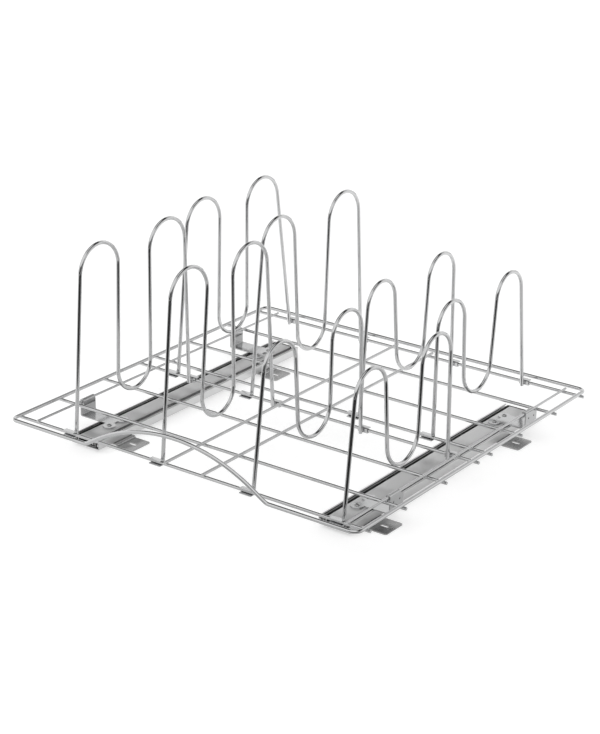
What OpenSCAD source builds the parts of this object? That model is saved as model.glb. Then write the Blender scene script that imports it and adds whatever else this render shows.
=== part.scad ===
// Pull-out pot organizer for the floor of a base cabinet: a welded wire tray on two
// flat-lying ball-bearing slides, with clip-on wire dividers between the pots and pans.
// X runs to the right, Y to the back of the cabinet, Z up from the cabinet floor.
// The tray pulls out towards -Y. The origin is on the floor, below the tray's centre.

/* [Tray rim] */
// Width of the tray between the centres of its side rails
tray_w = 528; // [510:1:560]
// Depth of the tray between the centres of its front and rear rails
tray_d = 533; // [520:1:570]
// Diameter of the rim's wire
rim_wire = 5; // [4:0.1:6]
// Bend radius of the rim's corners, at the centre of the wire
rim_corner_r = 10; // [7:1:16]
// Height of the rim's wire above the tops of the slides
rim_lift = 22.5; // [20:0.5:26]

/* [Hand-hold] */
// Rise of the hand-hold above the front rail
grip_rise = 44.5; // [30:0.5:60]
// Radius of the hand-hold's arch
grip_r = 232; // [200:1:280]
// Radius of the bends where the hand-hold leaves the rail
grip_bend_r = 14; // [8:1:20]
// Length of the straight run from the arch to each of those bends
grip_straight = 18; // [4:1:30]

/* [Wire grid] */
// Diameter of the cross wires
cross_wire_d = 4.2; // [3.5:0.1:5]
// How far the cross wires run past the centres of the side rails
cross_overhang = 4.5; // [3:0.5:8]
// Gap between the two middle cross wires, centre to centre
middle_pair = 31.1; // [26:0.1:40]
// Spacing of the next cross wire on each side of the middle pair
inner_bay = 73.4; // [60:0.1:80]
// Spacing of the last two cross wires at each end, near the front and rear rails
outer_bay = 73.3; // [60:0.1:76]
// Distance of the first cross wire behind the front rail
front_gap = 21.3; // [16:0.1:26]
// Distance of the last cross wire in front of the rear rail
rear_gap = 12.6; // [10:0.1:20]
// Diameter of the two stringers in the middle of the tray
centre_stringer_d = 4; // [3:0.1:5]
// Distance between the two middle stringers
centre_stringer_pitch = 57.4; // [40:0.1:60]
// Diameter of the outboard stringers, which hang on the support brackets
side_stringer_d = 3.2; // [2.8:0.1:4]
// Distance of the outboard stringers inside the rim's side rails
side_stringer_inset = 26.7; // [22:0.1:32]
// How far the stringers run past the first and last cross wires
stringer_overhang = 4; // [3:0.5:7]
// How far the welded grid sits to the right of the rim's centre
grid_x = 1.9; // [-1:0.1:2]

/* [Dividers] */
// Diameter of the dividers' wire
divider_wire = 5; // [4:0.1:6]
// Height of a tall divider's arch centres above the rim
tall_arch_h = 192; // [150:1:230]
// Radius of a tall divider's arches
tall_arch_r = 35; // [28:0.5:40]
// Usual distance between a tall divider's arches
tall_pitch = 130; // [126:1:136]
// Height of the centre of a tall divider's dip above the rim
tall_dip_h = 51.5; // [45:0.5:60]
// Radius of a tall divider's dip
tall_dip_r = 31.5; // [24:0.5:34]
// Height of a short divider's arch centres above the rim
short_arch_h = 133; // [110:1:150]
// Radius of a short divider's arches
short_arch_r = 31.5; // [28:0.5:34]
// Usual distance between a short divider's arches
short_pitch = 140; // [134:1:146]
// Height of the centre of a short divider's dip above the rim
short_dip_h = 57; // [48:1:64]
// Radius of a short divider's dip
short_dip_r = 33.5; // [24:0.5:36]

/* [Divider clips] */
// Sheet thickness of the clips
clip_t = 1.2; // [0.8:0.1:1.6]
// Length of the front feet's clips
front_clip_l = 17.5; // [14:0.5:22]
// Length of the rear feet's clips
rear_clip_l = 14; // [10:0.5:15]
// How far a front clip runs past its leg, on the leg's right
front_clip_tail = 4.5; // [2.5:0.5:5]
// How far a rear clip runs past its leg, on the leg's left
rear_clip_tail = 6; // [5.9:0.1:8]
// How far the clips' lips reach past the cross wire's centre
clip_lip = 5; // [4:0.5:6]

/* [Slides] */
// Distance of the slides' centres inside the rim's side rails, on average
slide_inset = 71.45; // [68:0.05:80]
// How far both slides sit to the right of the grid's middle
slide_shift = 3.75; // [0:0.05:5]
// How far the slides' front ends lie behind the rim's front rail
slide_setback = 51.9; // [48:0.1:60]
// How far the slides' rear ends lie in front of the rim's rear rail
slide_rear_gap = 56.5; // [50:0.5:70]
// Width of a slide
slide_w = 45.5; // [44:0.5:48]
// Thickness of a slide, floor of the outer member to top of the inner member
slide_h = 12; // [11.8:0.1:14]
// Sheet thickness of the slides' members
member_t = 1.2; // [1:0.05:1.3]
// Diameter of the balls
ball_d = 4.3; // [4.1:0.05:4.4]
// Number of balls on each side of a cage
balls_per_side = 10; // [6:1:12]
// Length of the ball cages
cage_l = 190; // [150:1:190]
// Sheet thickness of the ball cages
cage_t = 0.6; // [0.5:0.05:0.7]
// How much shorter the tray's travel is than the slides
travel_loss = 24.6; // [10:0.1:60]

/* [Support brackets] */
// Sheet thickness of the brackets
bracket_t = 1.5; // [1.2:0.1:1.8]
// Width of a bracket's upright plate, along the travel
bracket_plate_l = 28; // [20:1:32]
// Radius of the rounded ears of a bracket's foot, round its rivets
bracket_ear_r = 8.5; // [7:0.5:9]
// How far the hook's lip hangs down inside the stringer
hook_lip = 6; // [4:0.5:8]
// Distance of the front brackets' plates from the first cross wire
front_bracket_gap = 90; // [84:1:94]
// Distance of the rear brackets' plates from the last cross wire
rear_bracket_gap = 95; // [88:1:98]
// Diameter of the rivets that hold the brackets
bracket_rivet_d = 4; // [3:0.1:5]
// Distance between a bracket's two rivets
bracket_rivet_pitch = 25; // [22:0.5:28]
// How far the rivets' middle lies in front of the plate's
bracket_rivet_lead = 4; // [0:0.5:6]
// Diameter of the two small holes in a bracket's plate
plate_hole_d = 2.4; // [2:0.1:4]
// Distance between them
plate_hole_pitch = 13; // [10:0.5:16]
// Their distance below the stringer
plate_hole_drop = 7.4; // [6:0.1:9]

/* [Mounting straps] */
// Sheet thickness of the straps
strap_t = 1.5; // [1.2:0.1:2]
// Width of the straps, along the travel
strap_l = 36; // [28:1:40]
// Height of the straps' bridge above the floor
strap_rise = 2.5; // [2:0.1:3]
// Distance from the slide's side to the step down to the floor tab
strap_step = 5; // [3:0.5:7]
// How far a floor tab runs past the slide's side
tab_reach = 30; // [27:1:36]
// Corner radius of a floor tab
tab_corner_r = 3; // [1:0.5:6]
// Distance of the front straps from the slides' front ends
front_strap_y = 46.6; // [30:0.1:60]
// Distance of the rear straps from the slides' rear ends
rear_strap_y = 75; // [50:1:90]
// Width of the screw slots
slot_w = 4.5; // [4:0.1:6]
// Length of the screw slots
slot_l = 12; // [9:0.5:14]
// Distance of the slots' centres from the slide's side
slot_x = 16; // [14:1:18]
// Diameter of the rivets that hold the straps
strap_rivet_d = 4; // [3:0.1:5]
// Distance between a strap's two rivets
strap_rivet_pitch = 12; // [10:0.5:16]

/* [Fits] */
// Running clearance of the balls in their races
race_gap = 0.05; // [0.03:0.01:0.08]
// Clearance of the rivets in their holes
rivet_gap = 0.05; // [0.02:0.01:0.1]
// Clearance of the clips on the cross wires
clip_gap = 0.2; // [0.15:0.05:0.3]
// Gap left at the welds and where the brackets hook over the stringers
weld_gap = 0.05; // [0.02:0.01:0.1]
// Clearance between the cages and the members above and below them
cage_gap = 0.3; // [0.25:0.05:0.35]

/* [Hidden] */
NODES = concat(
    ["perimeter_wire"],
    [for (i = [1:8]) str("cross_wire_", i)],
    ["side_stringer_left", "side_stringer_right"],
    ["centre_stringer_left", "centre_stringer_right"],
    [for (i = [1:4]) str("tall_divider_", i)],
    [for (i = [1:4]) str("short_divider_", i)],
    [for (i = [1:4]) str("tall_divider_", i, "_clips")],
    [for (i = [1:4]) str("short_divider_", i, "_clips")],
    [for (side = ["left", "right"]) each [
        str("outer_member_", side), str("intermediate_member_", side),
        str("inner_member_", side), str("outer_ball_cage_", side),
        str("inner_ball_cage_", side), str("outer_balls_", side),
        str("inner_balls_", side), str("support_bracket_front_", side),
        str("support_bracket_rear_", side), str("mounting_strap_front_", side),
        str("mounting_strap_rear_", side)]],
    ["bracket_rivets", "strap_rivets", "rear_bumpers"]);
node = "all";

$fn = 32;

// A wire is drawn a little thinner in its bends, and its straight runs reach into them
bend_draw = 0.04;
bend_bite = 0.5;

// Heights, from the floor up
slide_z = strap_rise + strap_t;
slide_top = slide_z + slide_h;
rim_z = slide_top + rim_lift;
cross_z = rim_z - (rim_wire + cross_wire_d) / 2 - weld_gap;
centre_stringer_z = cross_z + (cross_wire_d + centre_stringer_d) / 2 + weld_gap;
side_stringer_z = cross_z + (cross_wire_d + side_stringer_d) / 2 + weld_gap;

// The cross wires, front to back: a close pair in the middle, and three more each way
grid_y = (front_gap - rear_gap) / 2;
grid_half = (tray_d - front_gap - rear_gap) / 2;
wide_bay = grid_half - outer_bay - inner_bay - middle_pair / 2;
cross_steps = [middle_pair / 2, inner_bay, wide_bay, outer_bay];
function reach(n) = n == 0 ? cross_steps[0] : reach(n - 1) + cross_steps[n];
function cross_y(i) = grid_y + (i <= 4 ? -reach(4 - i) : reach(i - 5));

// The four stringers
side_stringer_x = tray_w / 2 - side_stringer_inset;
centre_stringer_x = centre_stringer_pitch / 2;
stringer_front = cross_y(1) - stringer_overhang;
stringer_rear = cross_y(8) + stringer_overhang;

// The dividers, which are sprung by hand and differ a little. Each row holds a divider's
// place across the tray, the outer ones' from the side rail next to them; the two cross wires
// that its feet stand on; how far its arches are set back from midway between its feet; how
// much wider apart they stand than usual, and how much higher; and how far its dip is set
// back from midway between them
tall_dividers = [
    [85.2 - tray_w / 2, [1, 4], 4.5, 0, 3, -3],
    [56.7 - tray_w / 2, [4, 8], -5.5, 0, -1, -1],
    [-38.8, [1, 4], 1.5, -10, 0, -4.5],
    [-82.5, [4, 8], 4, 18, -3, 2]];
short_dividers = [
    [98.8, [1, 4], 7.5, -3, 1, 2],
    [67.8, [5, 8], 4, 3, -1, 1],
    [tray_w / 2 - 36.5, [1, 4], 6.5, -1, 0, 1.5],
    [tray_w / 2 - 85, [5, 8], -8, 1, -0.5, -1.5]];

// The slides' cross-section: x outward from the slide's centre, z up from its floor
slide_pitch = tray_w - 2 * slide_inset;
slide_front = -tray_d / 2 + slide_setback;
slide_rear = tray_d / 2 - slide_rear_gap;
travel = slide_rear - slide_front - travel_loss;
race_w = 3.8;                                   // between two members' race walls
outer_wall_x = slide_w / 2 - member_t;          // inner face of the outer member's wall
mid_wall_x = outer_wall_x - race_w;             // outer face of the intermediate's wall
inner_wall_x = mid_wall_x - member_t - race_w;  // outer face of the inner member's wall
outer_ball_x = outer_wall_x - race_w / 2;
inner_ball_x = mid_wall_x - member_t - race_w / 2;
outer_wall_h = slide_h - 0.4;
mid_wall_h = slide_h - 0.8;
outer_ball_z = 6;
inner_ball_z = 7;
outer_cage_z = member_t + cage_gap;
mid_floor_z = outer_cage_z + cage_t + cage_gap;
inner_cage_z = mid_floor_z + member_t + cage_gap;
inner_foot_z = inner_cage_z + cage_t + cage_gap;
cage_wall_h = 2.9;                              // of a cage above its balls' centres
outer_lip = 1.85;                               // inward turn along the outer walls
race_r = ball_d / 2 + race_gap;
bumper_l = 5;
bumper_gap = 0.3;
stop_t = 1.2;                                   // of the stop tabs, along the slide
stop_h = 3.5;
moving_rear = slide_rear - bumper_l - bumper_gap;
cage_play = 2.5;                                // of a cage between its stops
cage_rear = moving_rear - stop_t - cage_play - travel / 4;
cage_front = cage_rear - cage_l;

// The brackets' and straps' places along the slides
front_bracket_y = cross_y(1) + front_bracket_gap;
rear_bracket_y = cross_y(8) - rear_bracket_gap;
front_strap_mid = slide_front + front_strap_y;
rear_strap_mid = slide_rear - rear_strap_y;

// Rivets are hollow, with a low round head
rivet_head = 0.85;                              // of a head's radius to its rivet's size
rivet_head_h = 1.2;
rivet_tail_h = 0.8;
rivet_bore = 0.7;                              // of a rivet's bore to its size

steel = [0.78, 0.79, 0.8];
sheet_steel = [0.68, 0.69, 0.7];

// A flat outline in x and z, drawn out along Y from y0 to y1
module along_y(y0, y1) {
    translate([0, y1, 0])
        rotate([90, 0, 0])
            linear_extrude(height = y1 - y0)
                children();
}

// The same piece on the left and right slides
function slide_x(side) = grid_x + slide_shift + (side == "left" ? -1 : 1) * slide_pitch / 2;

module at_slide(side) {
    translate([slide_x(side), 0, slide_z])
        children();
}

// Straight wire between two points
module wire(a, b, d) {
    v = b - a;
    translate(a)
        rotate([0, acos(v[2] / norm(v)), atan2(v[1], v[0])])
            cylinder(h = norm(v), d = d);
}

// The point a little beyond b on the way from a: a straight run goes on into a bend there
function beyond(a, b) = b + bend_bite * (b - a) / norm(b - a);

// Straight wire between two bends
module run(a, b, d) {
    wire(beyond(b, a), beyond(a, b), d);
}

// Bent wire in the X-Y plane, about a centre, from one angle to another
module bend(centre, r, from, to, d) {
    translate(centre)
        rotate([0, 0, from])
            rotate_extrude(angle = to - from, $fn = 96)
                translate([r, 0])
                    circle(d = d - bend_draw, $fn = 32);
}

// The points where a line touches two circles, each on the side that its sign says, left
// of the line's direction being +1
function tangent(c1, s1, r1, c2, s2, r2) =
    let (v = c2 - c1, u = v / norm(v), w = [-u[1], u[0]],
         k = (s1 * r1 - s2 * r2) / norm(v), n = k * u + sqrt(1 - k * k) * w)
    [c1 + s1 * r1 * n, c2 + s2 * r2 * n];
function angle_of(p, c) = atan2(p[1] - c[1], p[0] - c[0]);
function turned(a, least) = a < least ? a + 360 : a;

// The rim: one loop of wire with rounded corners and a hand-hold in its front rail, whose
// arch runs down to a bend in the rail on each side
grip_arch = [0, grip_rise - grip_r];
grip_bend_x = sqrt(pow(grip_r + grip_bend_r, 2) + pow(grip_straight, 2)
    - pow(grip_bend_r - grip_arch[1], 2));
grip_bend = [grip_bend_x, grip_bend_r];
grip_run = tangent(grip_arch, 1, grip_r, grip_bend, -1, grip_bend_r);

module perimeter_wire() {
    x = tray_w / 2 - rim_corner_r;
    y = tray_d / 2 - rim_corner_r;
    color(steel)
        translate([0, 0, rim_z]) {
            for (i = [0:3]) {
                sx = (i == 0 || i == 3) ? 1 : -1;
                sy = i < 2 ? 1 : -1;
                bend([sx * x, sy * y, 0], rim_corner_r, i * 90, i * 90 + 90, rim_wire);
            }
            for (s = [-1, 1]) {
                run([s * tray_w / 2, -y, 0], [s * tray_w / 2, y, 0], rim_wire);
                run([s * grip_bend_x, -tray_d / 2, 0], [s * x, -tray_d / 2, 0], rim_wire);
            }
            run([-x, tray_d / 2, 0], [x, tray_d / 2, 0], rim_wire);
            translate([0, -tray_d / 2, 0])
                rotate([90, 0, 0]) {
                    arch_a = angle_of(grip_run[0], grip_arch);
                    bend_a = turned(angle_of(grip_run[1], grip_bend), 0);
                    bend(grip_arch, grip_r, arch_a, 180 - arch_a, rim_wire);
                    for (s = [0, 1])
                        mirror([s, 0, 0]) {
                            bend(grip_bend, grip_bend_r, bend_a, 270, rim_wire);
                            run(concat(grip_run[0], 0), concat(grip_run[1], 0), rim_wire);
                        }
                }
        }
}

module cross_wire(i) {
    half = tray_w / 2 + cross_overhang;
    color(steel)
        wire([-half, cross_y(i), cross_z], [half, cross_y(i), cross_z], cross_wire_d);
}

module stringer(x, z, d) {
    color(steel)
        wire([grid_x + x, stringer_front, z], [grid_x + x, stringer_rear, z], d);
}

// A divider is one wire bent as an M in the Y-Z plane. Its straight runs touch the two
// arches and the dip between them, and its outer legs end at the two feet.
module m_wire(foot_1, foot_2, middle, arch_h, arch_r, pitch, dip_y, dip_h, dip_r) {
    arch_1 = [middle - pitch / 2, arch_h];
    arch_2 = [middle + pitch / 2, arch_h];
    dip = [dip_y, dip_h];
    leg_1 = tangent([foot_1, 0], 1, 0, arch_1, 1, arch_r);
    leg_2 = tangent(arch_1, 1, arch_r, dip, -1, dip_r);
    leg_3 = tangent(dip, -1, dip_r, arch_2, 1, arch_r);
    leg_4 = tangent(arch_2, 1, arch_r, [foot_2, 0], 1, 0);
    wire([foot_1, 0, 0], concat(beyond(leg_1[0], leg_1[1]), 0), divider_wire);
    run(concat(leg_2[0], 0), concat(leg_2[1], 0), divider_wire);
    run(concat(leg_3[0], 0), concat(leg_3[1], 0), divider_wire);
    wire(concat(beyond(leg_4[1], leg_4[0]), 0), [foot_2, 0, 0], divider_wire);
    bend(arch_1, arch_r, angle_of(leg_2[0], arch_1),
        turned(angle_of(leg_1[1], arch_1), 90), divider_wire);
    bend(dip, dip_r, turned(angle_of(leg_2[1], dip), 90),
        turned(angle_of(leg_3[0], dip), 270), divider_wire);
    bend(arch_2, arch_r, angle_of(leg_4[0], arch_2),
        turned(angle_of(leg_3[1], arch_2), 90), divider_wire);
}

// The legs stand against the backs of the clips and reach down to the clips' undersides
clip_hole = cross_wire_d / 2 + clip_gap;
clip_back = clip_hole + clip_t;
leg_inset = clip_back + divider_wire / 2 + weld_gap;
foot_z = cross_z - clip_back;

module divider(row, arch_h, arch_r, pitch, dip_h, dip_r) {
    front = cross_y(row[1][0]) + leg_inset;
    rear = cross_y(row[1][1]) - leg_inset;
    middle = (front + rear) / 2 + row[2];
    lift = rim_z - foot_z;
    color(steel)
        translate([row[0], 0, foot_z])
            rotate([90, 0, 90])
                m_wire(front, rear, middle, arch_h + row[4] + lift, arch_r,
                    pitch + row[3], middle + row[5], dip_h + lift, dip_r);
}

module tall_divider(i) {
    divider(tall_dividers[i], tall_arch_h, tall_arch_r, tall_pitch, tall_dip_h, tall_dip_r);
}

module short_divider(i) {
    divider(short_dividers[i], short_arch_h, short_arch_r, short_pitch, short_dip_h,
        short_dip_r);
}

// A clip is a length of channel that hooks on a cross wire. The front foot's channel
// opens to the front and the rear foot's to the rear, so the sprung legs hold both on.
module clip(x0, length, y, facing) {
    translate([x0, y, cross_z])
        rotate([90, 0, 90])
            linear_extrude(height = length)
                scale([facing, 1])
                    difference() {
                        translate([-clip_lip, -clip_back])
                            square([clip_lip + clip_back, 2 * clip_back]);
                        translate([-clip_lip - 1, -clip_hole])
                            square([clip_lip + 1 + clip_hole, 2 * clip_hole]);
                    }
}

module divider_clips(row) {
    color(sheet_steel) {
        clip(row[0] + front_clip_tail - front_clip_l, front_clip_l, cross_y(row[1][0]), 1);
        clip(row[0] - rear_clip_tail, rear_clip_l, cross_y(row[1][1]), -1);
    }
}

// A flat outline and its mirror image about the slide's centre line
module both_walls() {
    for (side = [-1, 1])
        scale([side, 1])
            children();
}

// Stop tabs bent out of both walls at one end of a member
module stops(x, y, ball_z) {
    along_y(y, y + stop_t)
        both_walls()
            translate([x, ball_z - stop_h / 2])
                square([(race_w + member_t) / 2, stop_h]);
}

// Outer member: a channel that lies on the mounting straps, with a ball race in each wall
module outer_member(side) {
    color(sheet_steel)
        at_slide(side)
            difference() {
                union() {
                    along_y(slide_front, slide_rear)
                        both_walls() {
                            square([slide_w / 2, member_t]);
                            difference() {
                                translate([outer_wall_x, 0])
                                    square([member_t, outer_wall_h]);
                                translate([outer_ball_x, outer_ball_z])
                                    circle(r = race_r);
                            }
                            translate([outer_wall_x - outer_lip, outer_wall_h - member_t])
                                square([outer_lip + member_t, member_t]);
                        }
                    stops(outer_ball_x, slide_front, outer_ball_z);
                }
                strap_rivet_holes();
            }
}

// Intermediate member: a narrower channel between the two rows of balls
module intermediate_member(side) {
    color(sheet_steel)
        at_slide(side) {
            along_y(slide_front, moving_rear)
                both_walls() {
                    translate([0, mid_floor_z])
                        square([mid_wall_x, member_t]);
                    difference() {
                        translate([mid_wall_x - member_t, mid_floor_z])
                            square([member_t, mid_wall_h - mid_floor_z]);
                        translate([outer_ball_x, outer_ball_z])
                            circle(r = race_r);
                        translate([inner_ball_x, inner_ball_z])
                            circle(r = race_r);
                    }
                }
            stops(mid_wall_x - member_t / 2, moving_rear - stop_t, outer_ball_z);
            stops(inner_ball_x, slide_front, inner_ball_z);
        }
}

// Inner member: an upturned channel that carries the tray's brackets
module inner_member(side) {
    color(steel)
        at_slide(side)
            difference() {
                union() {
                    along_y(slide_front, moving_rear)
                        both_walls() {
                            translate([0, slide_h - member_t])
                                square([inner_wall_x, member_t]);
                            difference() {
                                translate([inner_wall_x - member_t, inner_foot_z])
                                    square([member_t, slide_h - inner_foot_z]);
                                translate([inner_ball_x, inner_ball_z])
                                    circle(r = race_r);
                            }
                        }
                    stops(inner_wall_x - member_t / 2, moving_rear - stop_t, inner_ball_z);
                }
                bracket_rivet_holes();
            }
}

function ball_y(i) = cage_front + (i + 0.5) * cage_l / balls_per_side;

// A cage is a shallow channel whose walls hold the balls between two members' races
module ball_cage(side, ball_x, ball_z, floor_z) {
    color(sheet_steel)
        at_slide(side)
            difference() {
                along_y(cage_front, cage_rear)
                    both_walls() {
                        translate([0, floor_z])
                            square([ball_x + cage_t / 2, cage_t]);
                        translate([ball_x - cage_t / 2, floor_z])
                            square([cage_t, ball_z + cage_wall_h - floor_z]);
                    }
                for (i = [0:balls_per_side - 1])
                    translate([-ball_x - cage_t, ball_y(i), ball_z])
                        rotate([0, 90, 0])
                            cylinder(h = 2 * (ball_x + cage_t), r = race_r);
            }
}

module balls(side, ball_x, ball_z) {
    color("silver")
        at_slide(side)
            for (wall = [-1, 1], i = [0:balls_per_side - 1])
                translate([wall * ball_x, ball_y(i), ball_z])
                    sphere(d = ball_d, $fn = 24);
}

// Soft bumpers that the moving members close against, one in the rear of each slide
module rear_bumpers() {
    color("dimgray")
        for (side = ["left", "right"])
            at_slide(side)
                translate([-mid_wall_x, slide_rear - bumper_l, member_t])
                    cube([2 * mid_wall_x, bumper_l, mid_wall_h - member_t]);
}

// Support bracket: its foot is riveted on the inner member, and its upright plate hooks
// over the outboard stringer. The plates stand outboard of the slides on both sides.
hook_r = side_stringer_d / 2 + weld_gap;
hook_z = side_stringer_z - slide_z;
function hook_x(side) =
    side_stringer_x - slide_pitch / 2 + (side == "left" ? 1 : -1) * slide_shift;

module support_bracket(side, y) {
    out = side == "left" ? -1 : 1;
    color(steel)
        at_slide(side)
            difference() {
                union() {
                    translate([0, 0, slide_h])
                        linear_extrude(height = bracket_t) {
                            translate([out > 0 ? 0 : -hook_x(side), y - bracket_plate_l / 2])
                                square([hook_x(side), bracket_plate_l]);
                            for (rivet_y = bracket_rivets_y(y))
                                translate([0, rivet_y])
                                    circle(r = bracket_ear_r, $fn = 48);
                        }
                    along_y(y - bracket_plate_l / 2, y + bracket_plate_l / 2)
                        scale([out, 1])
                            bracket_plate(hook_x(side));
                }
                for (end = [-1, 1])
                    translate([0, y + end * plate_hole_pitch / 2, hook_z - plate_hole_drop])
                        rotate([0, out * 90, 0])
                            translate([0, 0, hook_x(side)])
                                cylinder(h = hook_r + bracket_t + 1, d = plate_hole_d);
                bracket_rivet_holes();
            }
}

module bracket_plate(x) {
    translate([x - bracket_t, slide_h])
        square([hook_r + 2 * bracket_t, bracket_t]);
    translate([x + hook_r, slide_h])
        square([bracket_t, hook_z - slide_h]);
    translate([x - hook_r - bracket_t, hook_z - hook_lip])
        square([bracket_t, hook_lip]);
    translate([x, hook_z])
        difference() {
            circle(r = hook_r + bracket_t);
            circle(r = hook_r);
            translate([-2 * hook_r - bracket_t, -4 * hook_r])
                square([4 * hook_r + 2 * bracket_t, 4 * hook_r]);
        }
}

function bracket_rivets_y(y) = [for (end = [-1, 1])
    y - bracket_rivet_lead + end * bracket_rivet_pitch / 2];

module bracket_rivet_holes() {
    for (y = [front_bracket_y, rear_bracket_y], rivet_y = bracket_rivets_y(y))
        translate([0, rivet_y, slide_h - 2 * member_t])
            cylinder(h = 2 * (member_t + bracket_t), d = bracket_rivet_d + 2 * rivet_gap);
}

// A hollow rivet through sheets of one height together, standing on their underside
module rivet(d, grip, tail) {
    difference() {
        union() {
            translate([0, 0, -tail])
                cylinder(h = grip + tail, d = d);
            translate([0, 0, grip])
                cylinder(h = rivet_head_h, r1 = rivet_head * d, r2 = rivet_head * d - 1);
        }
        translate([0, 0, -tail - 1])
            cylinder(h = grip + tail + rivet_head_h + 2, d = rivet_bore * d);
    }
}

module bracket_rivets() {
    color("silver")
        for (side = ["left", "right"], y = [front_bracket_y, rear_bracket_y])
            at_slide(side)
                for (rivet_y = bracket_rivets_y(y))
                    translate([0, rivet_y, slide_h - member_t])
                        rivet(bracket_rivet_d, member_t + bracket_t, rivet_tail_h);
}

// Mounting strap: a bridge under the outer member that steps down to a slotted floor tab
// on the slide's right
module mounting_strap(side, y) {
    half = slide_w / 2;
    step_x = half + strap_step;
    slot_run = (slot_l - slot_w) / 2;
    color(sheet_steel)
        at_slide(side)
            difference() {
                translate([0, 0, -slide_z]) {
                    along_y(y - strap_l / 2, y + strap_l / 2) {
                        translate([-half, 0])
                            square([strap_t, slide_z]);
                        translate([-half, strap_rise])
                            square([half + step_x, strap_t]);
                        translate([step_x - strap_t, 0])
                            square([strap_t, slide_z]);
                    }
                    translate([step_x - strap_t, y])
                        floor_tab(half + tab_reach - step_x + strap_t);
                }
                for (end = [-1, 1])
                    translate([half + slot_x + end * slot_run, y, -slide_z - 1])
                        cylinder(h = strap_t + 2, d = slot_w);
                translate([half + slot_x - slot_run, y - slot_w / 2, -slide_z - 1])
                    cube([2 * slot_run, slot_w, strap_t + 2]);
                strap_rivet_holes();
            }
}

module floor_tab(l) {
    linear_extrude(height = strap_t) {
        translate([0, -strap_l / 2])
            square([l - tab_corner_r, strap_l]);
        translate([0, tab_corner_r - strap_l / 2])
            square([l, strap_l - 2 * tab_corner_r]);
        for (end = [-1, 1])
            translate([l - tab_corner_r, end * (strap_l / 2 - tab_corner_r)])
                circle(r = tab_corner_r);
    }
}

module at_strap_rivets() {
    for (y = [front_strap_mid, rear_strap_mid], end = [-1, 1])
        translate([end * strap_rivet_pitch / 2, y, 0])
            children();
}

module strap_rivet_holes() {
    at_strap_rivets()
        translate([0, 0, -strap_t - 1])
            cylinder(h = member_t + strap_t + 2, d = strap_rivet_d + 2 * rivet_gap);
}

module strap_rivets() {
    color("silver")
        for (side = ["left", "right"])
            at_slide(side)
                at_strap_rivets()
                    translate([0, 0, member_t])
                        mirror([0, 0, 1])
                            rivet(strap_rivet_d, member_t + strap_t, 0);
}

function shown(name) = node == "all" || node == name;

if (shown("perimeter_wire")) perimeter_wire();
for (i = [1:8]) if (shown(str("cross_wire_", i))) cross_wire(i);
if (shown("side_stringer_left"))
    stringer(-side_stringer_x, side_stringer_z, side_stringer_d);
if (shown("side_stringer_right"))
    stringer(side_stringer_x, side_stringer_z, side_stringer_d);
if (shown("centre_stringer_left"))
    stringer(-centre_stringer_x, centre_stringer_z, centre_stringer_d);
if (shown("centre_stringer_right"))
    stringer(centre_stringer_x, centre_stringer_z, centre_stringer_d);
for (i = [0:3]) {
    if (shown(str("tall_divider_", i + 1))) tall_divider(i);
    if (shown(str("short_divider_", i + 1))) short_divider(i);
    if (shown(str("tall_divider_", i + 1, "_clips"))) divider_clips(tall_dividers[i]);
    if (shown(str("short_divider_", i + 1, "_clips"))) divider_clips(short_dividers[i]);
}
for (side = ["left", "right"]) {
    if (shown(str("outer_member_", side))) outer_member(side);
    if (shown(str("intermediate_member_", side))) intermediate_member(side);
    if (shown(str("inner_member_", side))) inner_member(side);
    if (shown(str("outer_ball_cage_", side)))
        ball_cage(side, outer_ball_x, outer_ball_z, outer_cage_z);
    if (shown(str("inner_ball_cage_", side)))
        ball_cage(side, inner_ball_x, inner_ball_z, inner_cage_z);
    if (shown(str("outer_balls_", side))) balls(side, outer_ball_x, outer_ball_z);
    if (shown(str("inner_balls_", side))) balls(side, inner_ball_x, inner_ball_z);
    if (shown(str("support_bracket_front_", side))) support_bracket(side, front_bracket_y);
    if (shown(str("support_bracket_rear_", side))) support_bracket(side, rear_bracket_y);
    if (shown(str("mounting_strap_front_", side))) mounting_strap(side, front_strap_mid);
    if (shown(str("mounting_strap_rear_", side))) mounting_strap(side, rear_strap_mid);
}
if (shown("bracket_rivets")) bracket_rivets();
if (shown("strap_rivets")) strap_rivets();
if (shown("rear_bumpers")) rear_bumpers();
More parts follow.
